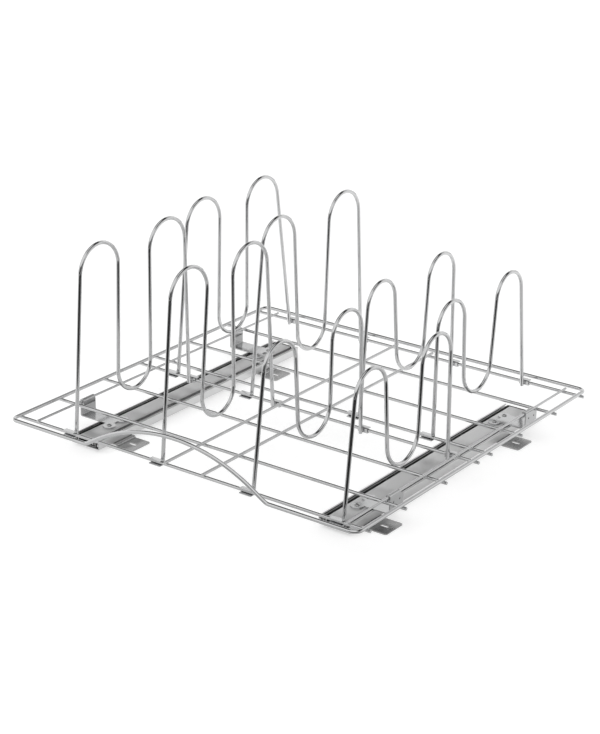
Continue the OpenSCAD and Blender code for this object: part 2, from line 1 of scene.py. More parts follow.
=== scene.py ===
import math
import bmesh
import bpy
from mathutils import Euler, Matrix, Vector


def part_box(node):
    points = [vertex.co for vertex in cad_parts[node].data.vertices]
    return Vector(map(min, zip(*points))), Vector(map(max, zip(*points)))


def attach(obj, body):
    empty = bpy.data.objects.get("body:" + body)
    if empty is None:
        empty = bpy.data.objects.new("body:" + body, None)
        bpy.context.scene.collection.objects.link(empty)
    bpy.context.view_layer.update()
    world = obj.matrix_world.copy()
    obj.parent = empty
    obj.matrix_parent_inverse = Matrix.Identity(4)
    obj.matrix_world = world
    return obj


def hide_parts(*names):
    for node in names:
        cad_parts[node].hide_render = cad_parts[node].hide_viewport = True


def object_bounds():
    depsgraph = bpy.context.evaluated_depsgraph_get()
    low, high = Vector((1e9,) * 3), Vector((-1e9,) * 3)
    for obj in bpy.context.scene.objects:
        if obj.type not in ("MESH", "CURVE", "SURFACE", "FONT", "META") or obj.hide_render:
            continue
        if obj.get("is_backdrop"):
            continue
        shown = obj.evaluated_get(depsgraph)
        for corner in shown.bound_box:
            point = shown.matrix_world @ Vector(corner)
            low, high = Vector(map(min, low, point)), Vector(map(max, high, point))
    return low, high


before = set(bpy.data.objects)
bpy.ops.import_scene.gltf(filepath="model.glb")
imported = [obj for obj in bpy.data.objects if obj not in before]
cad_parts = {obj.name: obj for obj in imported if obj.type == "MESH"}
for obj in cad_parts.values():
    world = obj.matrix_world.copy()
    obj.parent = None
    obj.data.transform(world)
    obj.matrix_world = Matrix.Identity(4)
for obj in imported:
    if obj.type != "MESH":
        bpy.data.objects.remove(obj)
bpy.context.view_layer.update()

# Camera. It stands at the front right of the organizer and looks down on it, as in the
# photograph.
scene = bpy.context.scene
scene.view_settings.view_transform = "Standard"
CAMERA_PLACE = (1.3260, -1.8514, 0.9873)
CAMERA_TURN, CAMERA_DROP, CAMERA_ROLL = 35.79, 21.5, 0.79   # degrees
camera = bpy.data.objects.new("camera", bpy.data.cameras.new("camera"))
scene.collection.objects.link(camera)
scene.camera = camera
camera.data.sensor_width = 36
camera.data.lens = 93.75
camera.location = CAMERA_PLACE
turn = Euler((0, 0, math.radians(CAMERA_TURN))).to_matrix()
tilt = Euler((math.radians(90 - CAMERA_DROP), 0, 0)).to_matrix()
roll = Euler((0, 0, math.radians(CAMERA_ROLL))).to_matrix()
camera.rotation_euler = (turn @ tilt @ roll).to_euler()


# Table and studio. The organizer stands on a white table in a white room, under a broad
# soft lamp at the front left. A black card lies on the table in front of it, the room is dark
# behind the camera, and there is a dark gap above the backdrop. Only the chrome sees these.
class Value:
    """A socket of a node graph, which takes Python's operators as Math nodes."""

    def __init__(self, graph, socket):
        self.graph = graph
        self.socket = socket

    def math(self, operation, *terms):
        inputs = dict(enumerate(terms))
        return self.graph.node("ShaderNodeMath", {"operation": operation}, inputs)

    def __add__(self, other):
        return self.math("ADD", self, other)

    def __sub__(self, other):
        return self.math("SUBTRACT", self, other)

    def __rsub__(self, other):
        return self.math("SUBTRACT", other, self)

    def __mul__(self, other):
        return self.math("MULTIPLY", self, other)

    __radd__ = __add__
    __rmul__ = __mul__

    def step(self, low, high):
        """0 below low, 1 above high, and smooth between them."""
        settings = {"interpolation_type": "SMOOTHSTEP"}
        inputs = {"Value": self, "From Min": low, "From Max": high}
        return self.graph.node("ShaderNodeMapRange", settings, inputs)


class Graph:
    """The nodes of a finish, of the world or of a Geometry Nodes tree."""

    def __init__(self, tree):
        self.tree = tree
        tree.nodes.clear()

    def node(self, kind, settings=None, inputs=None, output=0):
        made = self.tree.nodes.new(kind)
        for name, value in (settings or {}).items():
            setattr(made, name, value)
        for name, value in (inputs or {}).items():
            if isinstance(value, Value):
                self.tree.links.new(value.socket, made.inputs[name])
            else:
                made.inputs[name].default_value = value
        return Value(self, made.outputs[output]) if len(made.outputs) else None

    def blend(self, share, low, high):
        """A colour that goes from low to high as share goes from 0 to 1."""
        return self.node("ShaderNodeMix", {"data_type": "RGBA"}, {0: share, 6: low, 7: high}, 2)


def grey(level):
    return (level, level, level, 1)


def ray_kinds(graph):
    """Whether a ray comes from the camera, from a mirror, or through something clear."""
    return [graph.node("ShaderNodeLightPath", output=kind) for kind in
            ("Is Camera Ray", "Is Glossy Ray", "Is Transmission Ray")]


TABLE_LEFT, TABLE_FRONT, TABLE_RIGHT, TABLE_BACK = -3.0, -2.5, 3.0, 4.0
TABLE_WHITE = 0.6
TABLE_GLOW = 0.52              # makes the table as white as the room behind it
TABLE_DIM = 0.8                # how much of that glow the chrome misses in its near part
DIM_FROM, DIM_TO = -0.25, 0.35   # where that fades in, from the origin towards the camera
CARD_AHEAD = 0.44              # of the card's near edge, from the origin towards the camera
CARD_DEEP, CARD_HALF = 1.6, 1.5   # its depth, and half its width
CARD_LIFT = 0.0002
GLOW = 0.86                    # of the white room, on what doesn't mirror it
# The dark parts of the room, by a direction's rise, its share towards the back and its share
# towards the camera, each from -1 to 1. A pair says where an edge starts and where it ends.
GAP_LOW, GAP_HIGH = (0.44, 0.52), (0.89, 0.97)
GAP_BACK, GAP_THIN, GAP_THINNED = (-0.3, -0.1), (0.6, 0.75), 0.6
BELOW = (-0.03, 0.0)
FACING, FACING_HIGH = (0.4, 0.55), (0.25, 0.4)
GAP_DARK, BELOW_DARK, FACING_DARK = 0.95, 0.96, 0.85
LAMP_PLACE, LAMP_SIZE, LAMP_POWER = (-1.6, -1.4, 2.6), 2.6, 14
lamp = bpy.data.objects.new("lamp", bpy.data.lights.new("lamp", "AREA"))
scene.collection.objects.link(lamp)
lamp.data.shape = "DISK"
lamp.data.size = LAMP_SIZE
lamp.data.energy = LAMP_POWER
lamp.location = LAMP_PLACE
lamp.rotation_euler = (-lamp.location).to_track_quat("-Z", "Y").to_euler()
lamp.visible_glossy = False

scene.world = bpy.data.worlds.new("room")
scene.world.use_nodes = True
room = Graph(scene.world.node_tree)
towards = room.node("ShaderNodeTexCoord")
aside, behind, height = (room.node("ShaderNodeSeparateXYZ", None, {0: towards}, axis)
                         for axis in range(3))
ahead = Vector(CAMERA_PLACE).xy.normalized()
gap = height.step(*GAP_LOW) * (1 - height.step(*GAP_HIGH))
gap = gap * behind.step(*GAP_BACK) * (1 - behind.step(*GAP_THIN) * GAP_THINNED)
below = 1 - height.step(*BELOW)
facing = (aside * ahead.x + behind * ahead.y).step(*FACING)
facing = facing * (1 - height.step(*FACING_HIGH)) * (1 - below)
mirrored = 1 - gap * GAP_DARK - below * BELOW_DARK - facing * FACING_DARK
seen, reflected, through = ray_kinds(room)
shown = seen + through
strength = shown + reflected * mirrored + (1 - shown - reflected) * GLOW
glow = room.node("ShaderNodeBackground", None, {"Color": grey(1), "Strength": strength})
room.node("ShaderNodeOutputWorld", None, {"Surface": glow})

table_mesh = bpy.data.meshes.new("table")
table_mesh.from_pydata(
    [(x, y, 0) for x, y in ((TABLE_LEFT, TABLE_FRONT), (TABLE_RIGHT, TABLE_FRONT),
                            (TABLE_RIGHT, TABLE_BACK), (TABLE_LEFT, TABLE_BACK))],
    [], [(0, 1, 2, 3)])
table = bpy.data.objects.new("table", table_mesh)
scene.collection.objects.link(table)

sideways = Vector((-ahead.y, ahead.x))
corners = [ahead * far + sideways * out for far, out in
           ((CARD_AHEAD, -CARD_HALF), (CARD_AHEAD + CARD_DEEP, -CARD_HALF),
            (CARD_AHEAD + CARD_DEEP, CARD_HALF), (CARD_AHEAD, CARD_HALF))]
card_mesh = bpy.data.meshes.new("card")
card_mesh.from_pydata([(*corner, CARD_LIFT) for corner in corners], [], [(0, 1, 2, 3)])
card = bpy.data.objects.new("card", card_mesh)
scene.collection.objects.link(card)
card.visible_camera = False
card.visible_diffuse = False
card.visible_shadow = False


def material(name):
    """A new material, and the graph of its nodes."""
    made = bpy.data.materials.new(name)
    made.use_nodes = True
    return made, Graph(made.node_tree)


def surface(graph, inputs, bump=None):
    """Ends a finish with one shader; bump is a height in metres over the surface."""
    if bump is not None:
        relief = {"Height": bump, "Distance": 1.0}
        inputs["Normal"] = graph.node("ShaderNodeBump", None, relief)
    shader = graph.node("ShaderNodeBsdfPrincipled", None, inputs)
    graph.node("ShaderNodeOutputMaterial", None, {"Surface": shader})


def noise(graph, scale, detail=2.0, stretch=(1, 1, 1)):
    """Noise over a piece, from 0 to 1, with its grains scaled along X, Y and Z."""
    place = graph.node("ShaderNodeTexCoord", output="Object")
    place = graph.node("ShaderNodeMapping", None, {"Vector": place, "Scale": stretch})
    return graph.node("ShaderNodeTexNoise", None, {"Vector": place, "Scale": scale, "Detail": detail})


table_white, graph = material("table_white")
paper = graph.blend(noise(graph, 9), grey(TABLE_WHITE), grey(TABLE_WHITE + 0.02))
seen, reflected, through = ray_kinds(graph)
spot = graph.node("ShaderNodeTexCoord", output="Object")
near = sum(graph.node("ShaderNodeSeparateXYZ", None, {0: spot}, axis) * ahead[axis]
           for axis in (0, 1)).step(DIM_FROM, DIM_TO)
shown = seen + reflected * (1 - near * TABLE_DIM) + through
lift = graph.blend(shown, grey(0), grey(TABLE_GLOW))
surface(graph, {"Base Color": paper, "Roughness": 0.9, "Emission Color": lift,
                "Emission Strength": 1.0})
table_mesh.materials.append(table_white)
table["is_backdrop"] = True

card_black, graph = material("card_black")
surface(graph, {"Base Color": graph.blend(noise(graph, 9), grey(0.004), grey(0.008)),
                "Roughness": 0.9})
card_mesh.materials.append(card_black)
card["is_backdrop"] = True

# Mounting straps. Each slide lies on two straps of plated steel strip. A strap is folded
# up from the floor under the slide, and steps down on the slide's right to a tab with a
# slot for a wood screw. Two hollow rivets hold the slide's channel on it.
BEND_STEP = 15                 # degrees between the creases that draw a bend
SHEET_EDGE = 0.00012           # the broken edge of a cut sheet


class Fold:
    """The line that the middle of a folded sheet follows: runs, each with a turn after it.
    A move is a run's length, its turn in degrees, left being positive, and the turn's radius."""

    def __init__(self, start, heading, *moves):
        self.spans = []
        self.creases = []
        place, angle, gone = Vector(start), math.radians(heading), 0.0
        for run, turn, radius in moves:
            self.spans.append((gone, place, angle, 0.0))
            place = place + run * Vector((math.cos(angle), math.sin(angle)))
            gone += run
            if turn:
                steps = math.ceil(abs(turn) / BEND_STEP)
                length = radius * math.radians(abs(turn))
                self.spans.append((gone, place, angle, math.radians(turn) / length))
                self.creases += [gone + length * step / steps for step in range(steps + 1)]
                place = self.at(gone + length)
                angle += math.radians(turn)
                gone += length
        self.length = gone

    def at(self, distance):
        span = self.spans[0]
        for later in self.spans[1:]:
            if later[0] <= distance:
                span = later
        gone, place, angle, curl = span
        beyond = distance - gone
        if not curl:
            return place + beyond * Vector((math.cos(angle), math.sin(angle)))
        end = angle + curl * beyond
        return place + Vector((math.sin(end) - math.sin(angle),
                               math.cos(angle) - math.cos(end))) / curl


def settled(piece):
    """The piece with its modifiers worked into a plain mesh."""
    evaluated = piece.evaluated_get(bpy.context.evaluated_depsgraph_get())
    mesh = bpy.data.meshes.new_from_object(evaluated)
    piece.modifiers.clear()
    piece.data = mesh
    mesh.name = piece.name
    for face in mesh.polygons:
        face.use_smooth = True
    mesh.set_sharp_from_angle(angle=math.radians(30))
    return piece


def new_piece(name, mesh):
    piece = bpy.data.objects.new(name, mesh)
    scene.collection.objects.link(piece)
    return piece


def folded_sheet(name, fold, outline, holes, thickness, lay):
    """A sheet cut to an outline, with holes, and folded. The outline's points are distances
    along the fold and across it, and lay puts a point of the fold's plane in its place."""
    sheet = bmesh.new()
    rims = []
    for loop in (outline, *holes):
        corners = [sheet.verts.new((along, across, 0)) for along, across in loop]
        rims += [sheet.edges.new(pair) for pair in zip(corners, corners[1:] + corners[:1])]
    bmesh.ops.triangle_fill(sheet, edges=rims, use_beauty=True)
    for crease in fold.creases:
        cut = sheet.verts[:] + sheet.edges[:] + sheet.faces[:]
        bmesh.ops.bisect_plane(sheet, geom=cut, dist=1e-6, plane_co=(crease, 0, 0), plane_no=(1, 0, 0))
    for corner in sheet.verts:
        corner.co = lay(fold.at(corner.co.x), corner.co.y)
    bmesh.ops.recalc_face_normals(sheet, faces=sheet.faces)
    mesh = bpy.data.meshes.new(name)
    sheet.to_mesh(mesh)
    sheet.free()
    piece = new_piece(name, mesh)
    wall = piece.modifiers.new("wall", "SOLIDIFY")
    wall.thickness = thickness
    wall.offset = 0
    wall.use_even_offset = True
    edge = piece.modifiers.new("edge", "BEVEL")
    edge.width = SHEET_EDGE
    edge.segments = 1
    edge.limit_method = "ANGLE"
    edge.angle_limit = math.radians(50)
    return settled(piece)


def arc(centre, radius, start, end, steps):
    """Points along an arc, between angles in degrees."""
    angles = [math.radians(start + (end - start) * step / steps) for step in range(steps + 1)]
    return [(centre[0] + radius * math.cos(a), centre[1] + radius * math.sin(a)) for a in angles]


def ring(centre, radius, steps=24):
    return arc(centre, radius, 0, 360, steps)[:-1]


def strip(fold, start, end):
    """The outline of a plain strip, from start to end across the fold."""
    return [(0, start), (fold.length, start), (fold.length, end), (0, end)]


def upright(point, across):
    """Lays a fold in the XZ plane, with its sheet running along Y."""
    return (point.x, across, point.y)


def install(piece, finish, body, slot, *nodes):
    """Gives a piece its finish, and puts it on a body in place of CAD nodes."""
    piece.data.materials.clear()
    piece.data.materials.append(finish)
    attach(piece, body)
    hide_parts(*nodes)


def plated_steel(name, base, roughness, grain):
    """Bright zinc on rolled strip: a fine grain along the strip, and a faint cloudiness."""
    made, graph = material(name)
    cloud = noise(graph, 30, 3)
    lines = noise(graph, grain, 2, (1, 0.04, 1))
    colour = graph.blend(cloud, grey(base * 0.94), grey(base))
    surface(graph, {"Base Color": colour, "Metallic": 1.0,
                    "Roughness": roughness + 0.08 * cloud + 0.05 * lines}, lines * 0.00001)
    return made


SIDES = {"left": -1, "right": 1}
STRAP_T = 0.0015
STRAP_BEND = 0.001             # radius at the middle of the sheet
STRAP_STEP = 0.005             # from the slide's side to the outside of the step down
TAB_CORNER = 0.003
SLOT_W, SLOT_L = 0.0045, 0.012
SLOT_X = 0.016                 # of its centre, from the slide's side
STRAP_RIVETS = 0.012           # between a strap's two rivets
RIVET_HOLE = 0.00205
strap_zinc = plated_steel("strap_zinc", 0.5, 0.2, 900)


def slot_outline(centre, length, width):
    reach = (length - width) / 2
    return (arc((centre[0] + reach, centre[1]), width / 2, -90, 90, 10)
            + arc((centre[0] - reach, centre[1]), width / 2, 90, 270, 10))


for side in SIDES:
    channel_low, channel_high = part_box(f"outer_member_{side}")
    for end in ("front", "rear"):
        node = f"mounting_strap_{end}_{side}"
        low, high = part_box(node)
        middle = (low[1] + high[1]) / 2
        bridge = channel_low[2] - STRAP_T / 2
        left = low[0] + STRAP_T / 2
        step = channel_high[0] + STRAP_STEP - STRAP_T / 2
        drop = bridge - STRAP_T / 2 - 2 * STRAP_BEND
        fold = Fold((left, 0), 90,
                    (bridge - STRAP_BEND, -90, STRAP_BEND),
                    (step - left - 2 * STRAP_BEND, -90, STRAP_BEND),
                    (drop, 90, STRAP_BEND),
                    (high[0] - step - STRAP_BEND, 0, 0))
        tab = fold.length - TAB_CORNER
        outline = ([(0, high[1]), (0, low[1])]
                   + arc((tab, low[1] + TAB_CORNER), TAB_CORNER, -90, 0, 6)
                   + arc((tab, high[1] - TAB_CORNER), TAB_CORNER, 0, 90, 6))
        slot = fold.length - (high[0] - channel_high[0] - SLOT_X)
        centre = (channel_low[0] + channel_high[0]) / 2
        rivet = fold.creases[90 // BEND_STEP] + centre - left - STRAP_BEND
        holes = [slot_outline((slot, middle), SLOT_L, SLOT_W)]
        holes += [ring((rivet + way * STRAP_RIVETS / 2, middle), RIVET_HOLE) for way in (-1, 1)]
        strap = folded_sheet(node + "_visual", fold, outline, holes, STRAP_T, upright)
        install(strap, strap_zinc, "root", "plated_sheet", node)

# Outer members. The lowest channel of each slide is rolled from plated strip, with its
# walls turned in at the top over the balls. Tabs bent in at its front end stop the cage.
OUTER_T = 0.0012
OUTER_WALL = 0.0116            # height of the walls, from the channel's floor
OUTER_LIP = 0.00305            # inward turn at the top of the walls, outside to edge
OUTER_BEND, LIP_BEND = 0.0011, 0.0008
STOP_T, STOP_H = 0.0012, 0.0035
OUTER_BALL_X, OUTER_BALL_Z = 0.01965, 0.006
member_zinc = plated_steel("member_zinc", 0.72, 0.3, 1100)


def joined(*pieces):
    """The first piece with the others' meshes added to its own."""
    whole = bmesh.new()
    for piece in pieces:
        whole.from_mesh(piece.data)
    whole.to_mesh(pieces[0].data)
    whole.free()
    for piece in pieces[1:]:
        bpy.data.objects.remove(piece)
    pieces[0].data.set_sharp_from_angle(angle=math.radians(30))
    return pieces[0]


def block(name, low, high, edge=SHEET_EDGE, rounds=1):
    """A block with broken or rounded edges."""
    mesh = bpy.data.meshes.new(name)
    body = bmesh.new()
    bmesh.ops.create_cube(body, size=1)
    for corner in body.verts:
        corner.co = [l + (c + 0.5) * (h - l) for c, l, h in zip(corner.co, low, high)]
    body.to_mesh(mesh)
    body.free()
    piece = new_piece(name, mesh)
    soft = piece.modifiers.new("edge", "BEVEL")
    soft.width = edge
    soft.segments = rounds
    return settled(piece)


def stop_tabs(centre, floor, reach_from, reach_to, y, ball_z):
    """A pair of tabs at one end of a member, one on each wall."""
    return [block("stop_tab",
                  (centre + min(way * reach_from, way * reach_to), y, floor + ball_z - STOP_H / 2),
                  (centre + max(way * reach_from, way * reach_to), y + STOP_T,
                   floor + ball_z + STOP_H / 2))
            for way in (-1, 1)]


slide_centre, slide_floor = {}, {}
for side in SIDES:
    node = f"outer_member_{side}"
    low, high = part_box(node)
    slide_centre[side] = centre = (low[0] + high[0]) / 2
    slide_floor[side] = floor = low[2]
    half = high[0] - centre - OUTER_T / 2
    lip = OUTER_LIP - OUTER_T / 2 - LIP_BEND
    wall = OUTER_WALL - OUTER_T - LIP_BEND - OUTER_BEND
    fold = Fold((centre - half + LIP_BEND + lip, floor + OUTER_WALL - OUTER_T / 2), 180,
                (lip, 90, LIP_BEND), (wall, 90, OUTER_BEND),
                (2 * half - 2 * OUTER_BEND, 90, OUTER_BEND),
                (wall, 90, LIP_BEND), (lip, 0, 0))
    holes = []
    for end in ("front", "rear"):
        strap_low, strap_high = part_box(f"mounting_strap_{end}_{side}")
        middle = (strap_low[1] + strap_high[1]) / 2
        holes += [ring((fold.length / 2 + way * STRAP_RIVETS / 2, middle), RIVET_HOLE)
                  for way in (-1, 1)]
    member = folded_sheet(node + "_visual", fold, strip(fold, low[1], high[1]), holes, OUTER_T,
                          upright)
    stops = stop_tabs(centre, floor, OUTER_BALL_X, half, low[1], OUTER_BALL_Z)
    install(joined(member, *stops), member_zinc, "root", "plated_sheet", node)

# Ball cages. A thin pressed channel between two members carries the balls in holes in its
# walls, ten on each side, and keeps them apart.
CAGE_T, CAGE_BEND = 0.0006, 0.0005
CAGE_WALL = 0.0029             # above the balls' centres
BALL_HOLE = 0.0022
BALL_D = 0.0043
BALLS = 10
INNER_BALL_X, INNER_BALL_Z = 0.01465, 0.007
CAGE_FLOORS = {"outer": 0.0015, "inner": 0.0039}
BALL_PLACES = {"outer": (OUTER_BALL_X, OUTER_BALL_Z), "inner": (INNER_BALL_X, INNER_BALL_Z)}
cage_finish = plated_steel("cage_steel", 0.22, 0.28, 1400)

ball_finish, graph = material("ball_steel")
smear = noise(graph, 400)
surface(graph, {"Base Color": graph.blend(smear, grey(0.6), grey(0.64)), "Metallic": 1.0,
                "Roughness": 0.04 + 0.06 * smear})


def socket_of(tree, name, kind, flow="INPUT"):
    tree.interface.new_socket(name, in_out=flow, socket_type=kind)


def repeat_tree():
    """Sets a copy of one shape on each point of the piece."""
    tree = bpy.data.node_groups.new("repeat_shape", "GeometryNodeTree")
    socket_of(tree, "Points", "NodeSocketGeometry")
    socket_of(tree, "Shape", "NodeSocketObject")
    socket_of(tree, "Finish", "NodeSocketMaterial")
    socket_of(tree, "Copies", "NodeSocketGeometry", "OUTPUT")
    graph = Graph(tree)
    given = graph.tree.nodes.new("NodeGroupInput")
    points, shape, finish = (Value(graph, given.outputs[name]) for name in
                             ("Points", "Shape", "Finish"))
    shape = graph.node("GeometryNodeObjectInfo", None, {"Object": shape}, "Geometry")
    copies = graph.node("GeometryNodeInstanceOnPoints", None, {"Points": points, "Instance": shape})
    copies = graph.node("GeometryNodeRealizeInstances", None, {"Geometry": copies})
    copies = graph.node("GeometryNodeSetMaterial", None, {"Geometry": copies, "Material": finish})
    graph.node("NodeGroupOutput", None, {"Copies": copies})
    return tree


def grown(piece, tree, **inputs):
    """The piece with a Geometry Nodes tree worked into its mesh."""
    grower = piece.modifiers.new("grower", "NODES")
    grower.node_group = tree
    for item in tree.interface.items_tree:
        if item.in_out == "INPUT" and item.name in inputs:
            grower[item.identifier] = inputs[item.name]
    return settled(piece)


REPEAT = repeat_tree()


def repeated(name, shape, points, finish):
    """Copies of a shape at the points, in one piece. The shape itself is taken away."""
    mesh = bpy.data.meshes.new(name)
    mesh.from_pydata(points, [], [])
    piece = grown(new_piece(name, mesh), REPEAT, Shape=shape, Finish=finish)
    bpy.data.objects.remove(shape)
    return piece


def ball_shape(size, squash=(1, 1, 1), parts=16):
    mesh = bpy.data.meshes.new("ball")
    ball = bmesh.new()
    bmesh.ops.create_uvsphere(ball, u_segments=parts, v_segments=parts // 2, radius=size / 2)
    for corner in ball.verts:
        corner.co = [c * s for c, s in zip(corner.co, squash)]
    ball.to_mesh(mesh)
    ball.free()
    return new_piece("ball", mesh)


for side in SIDES:
    for row in ("outer", "inner"):
        node = f"{row}_ball_cage_{side}"
        low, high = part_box(node)
        centre, floor = slide_centre[side], slide_floor[side]
        ball_x, ball_z = BALL_PLACES[row]
        base = CAGE_FLOORS[row] + CAGE_T / 2
        wall = ball_z + CAGE_WALL - base - CAGE_BEND
        fold = Fold((centre - ball_x, floor + ball_z + CAGE_WALL), -90,
                    (wall, 90, CAGE_BEND), (2 * ball_x - 2 * CAGE_BEND, 90, CAGE_BEND), (wall, 0, 0))
        pitch = (high[1] - low[1]) / BALLS
        rows = [low[1] + (i + 0.5) * pitch for i in range(BALLS)]
        holes = [ring((along, y), BALL_HOLE, 16) for y in rows
                 for along in (CAGE_WALL, fold.length - CAGE_WALL)]
        cage = folded_sheet(node + "_visual", fold, strip(fold, low[1], high[1]), holes, CAGE_T,
                            upright)
        install(cage, cage_finish, f"{row}_cage_{side}", "cage_steel", node)
        points = [(centre + way * ball_x, y, floor + ball_z) for y in rows for way in (-1, 1)]
        balls = repeated(f"{row}_balls_{side}_visual", ball_shape(BALL_D), points, ball_finish)
        install(balls, ball_finish, f"{row}_cage_{side}", "ball_steel", f"{row}_balls_{side}")

# Intermediate members. A narrower rolled channel runs between the two rows of balls, and
# carries the inner member on at half its travel. Its stop tabs catch both cages.
MID_T, MID_BEND = 0.0012, 0.0011
MID_WEB, MID_TOP = 0.003, 0.0112   # heights of the web's middle and of the walls' tops
MID_HALF = 0.01775
STOP_REACH = 0.0025
# Their zinc is made much darker than the other members' as painted shade for the gaps between the
# members.
greased_zinc = plated_steel("greased_zinc", 0.28, 0.2, 1100)
for side in SIDES:
    node = f"intermediate_member_{side}"
    low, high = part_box(node)
    centre, floor = slide_centre[side], slide_floor[side]
    half = MID_HALF - MID_T / 2
    wall = MID_TOP - MID_WEB - MID_BEND
    fold = Fold((centre - half, floor + MID_TOP), -90,
                (wall, 90, MID_BEND), (2 * half - 2 * MID_BEND, 90, MID_BEND), (wall, 0, 0))
    member = folded_sheet(node + "_visual", fold, strip(fold, low[1], high[1]), [], MID_T, upright)
    stops = stop_tabs(centre, floor, half, half + STOP_REACH, high[1] - STOP_T, OUTER_BALL_Z)
    stops += stop_tabs(centre, floor, half - STOP_REACH, half, low[1], INNER_BALL_Z)
    install(joined(member, *stops), greased_zinc, f"intermediate_{side}", "plated_sheet", node)

# Inner members. The channel on top of each slide lies upside down over the inner balls. The
# tray's brackets are riveted on it, and it carries the tray out over the cabinet's front.
INNER_T, INNER_BEND = 0.0012, 0.0011
INNER_FOOT, INNER_TOP = 0.0048, 0.0114   # heights of the walls' feet and the web's middle
INNER_HALF = 0.01275
BRACKET_RIVETS = 0.025         # between a bracket's two rivets
BRACKET_RIVET_LEAD = 0.004     # of their middle, in front of the upright plate's
PLATE_L = 0.028
PLATE_MIDDLES = {end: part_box(f"support_bracket_{end}_left")[1][1] - PLATE_L / 2
                 for end in ("front", "rear")}


def bracket_rivets_y(end):
    middle = PLATE_MIDDLES[end] - BRACKET_RIVET_LEAD
    return [middle + way * BRACKET_RIVETS / 2 for way in (-1, 1)]


for side in SIDES:
    node = f"inner_member_{side}"
    low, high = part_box(node)
    centre, floor = slide_centre[side], slide_floor[side]
    half = INNER_HALF - INNER_T / 2
    wall = INNER_TOP - INNER_FOOT - INNER_BEND
    fold = Fold((centre - half, floor + INNER_FOOT), 90,
                (wall, -90, INNER_BEND), (2 * half - 2 * INNER_BEND, -90, INNER_BEND), (wall, 0, 0))
    holes = [ring((fold.length / 2, y), RIVET_HOLE)
             for end in PLATE_MIDDLES for y in bracket_rivets_y(end)]
    member = folded_sheet(node + "_visual", fold, strip(fold, low[1], high[1]), holes, INNER_T,
                          upright)
    stops = stop_tabs(centre, floor, half, half + STOP_REACH, high[1] - STOP_T, INNER_BALL_Z)
    install(joined(member, *stops), member_zinc, "tray", "plated_sheet", node)

# Strap rivets. Two hollow steel rivets hold the outer member on each of its straps, with
# their heads under the strap.
RIVET_R, RIVET_BORE = 0.002, 0.0014
HEAD_R, HEAD_H = 0.0034, 0.0012
CROWN_R = 0.001                # of the round edge on top of the head
HEAD_RIM, HEAD_EDGE = 0.0003, 0.0001   # height of the head's edge, and the bevel under it
BORE_FLARE = 0.0004
rivet_finish, graph = material("rivet_steel")
cloud = noise(graph, 300, 3)
surface(graph, {"Base Color": graph.blend(cloud, grey(0.42), grey(0.48)), "Metallic": 1.0,
                "Roughness": 0.14 + 0.14 * cloud}, cloud * 0.00002)


def turned_shape(name, outline, steps=32):
    """A closed outline of radii and heights, turned about the upright axis."""
    shape = bmesh.new()
    rings = []
    for step in range(steps):
        angle = 2 * math.pi * step / steps
        rings.append([shape.verts.new((r * math.cos(angle), r * math.sin(angle), z))
                      for r, z in outline])
    for this, after in zip(rings, rings[1:] + rings[:1]):
        for i, j in zip(range(len(outline)), [*range(1, len(outline)), 0]):
            shape.faces.new((this[i], after[i], after[j], this[j]))
    bmesh.ops.recalc_face_normals(shape, faces=shape.faces)
    mesh = bpy.data.meshes.new(name)
    shape.to_mesh(mesh)
    shape.free()
    return new_piece(name, mesh)


def rivet_shape(grip, tail, way):
    """A hollow rivet from the tail's end to its head, upside down where way is -1."""
    top = grip + HEAD_H
    outline = ([(RIVET_BORE, -tail), (RIVET_BORE, top - BORE_FLARE),
                (RIVET_BORE + BORE_FLARE, top)]
               + arc((HEAD_R - CROWN_R - HEAD_EDGE, top - CROWN_R), CROWN_R, 90, 25, 4)
               + [(HEAD_R, grip + HEAD_RIM), (HEAD_R - HEAD_EDGE, grip), (RIVET_R, grip),
                  (RIVET_R, -tail)])
    return turned_shape("rivet", [(r, way * z) for r, z in outline])


places = []
for side in SIDES:
    for end in ("front", "rear"):
        low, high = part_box(f"mounting_strap_{end}_{side}")
        places += [(slide_centre[side] + way * STRAP_RIVETS / 2, (low[1] + high[1]) / 2,
                    slide_floor[side] + OUTER_T) for way in (-1, 1)]
rivets = repeated("strap_rivets_visual", rivet_shape(OUTER_T + STRAP_T, 0, -1), places, rivet_finish)
install(rivets, rivet_finish, "root", "rivet_steel", "strap_rivets")

# Rear bumpers. A block of dark rubber is pressed into the rear of each outer member, and
# the two moving members close against it.
BUMPER_EDGE = 0.001
bumper_rubber, graph = material("bumper_rubber")
speckle = noise(graph, 1500, 3)
surface(graph, {"Base Color": graph.blend(speckle, grey(0.02), grey(0.045)),
                "Roughness": 0.6 + 0.25 * speckle}, speckle * 0.00004)
low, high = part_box("rear_bumpers")
bumpers = [block("rear_bumpers_visual",
                 (slide_centre[side] - MID_HALF, low[1], low[2]),
                 (slide_centre[side] + MID_HALF, high[1], high[2]), BUMPER_EDGE, 3)
           for side in SIDES]
install(joined(*bumpers), bumper_rubber, "root", "bumper_rubber", "rear_bumpers")

# Support brackets. Each is one blank of plated sheet: a foot with two rounded ears riveted
# on the inner member, and an upright plate that hooks over the tray's outboard stringer.
BRACKET_T = 0.0015
EAR_R = 0.0085
PLATE_BEND = 0.0015
HOOK_LIP = 0.006
HOOK_GAP = 0.00005
SHOULDER = 0.006               # of the plate, behind the hook
STRINGER_D = 0.0032
PLATE_HOLE_R, PLATE_HOLES, PLATE_HOLE_DROP = 0.0012, 0.013, 0.0074


def chrome(name, base, roughness, scale):
    """Bright chrome plate: nearly a mirror, with the faint haze and ripple of its base."""
    made, graph = material(name)
    haze = noise(graph, scale, 3)
    colour = graph.blend(haze, (base * 0.96, base * 0.965, base * 0.97, 1),
                         (base, base * 1.005, base * 1.012, 1))
    surface(graph, {"Base Color": colour, "Metallic": 1.0, "Roughness": roughness + 0.05 * haze},
            haze * 0.00002)
    return made


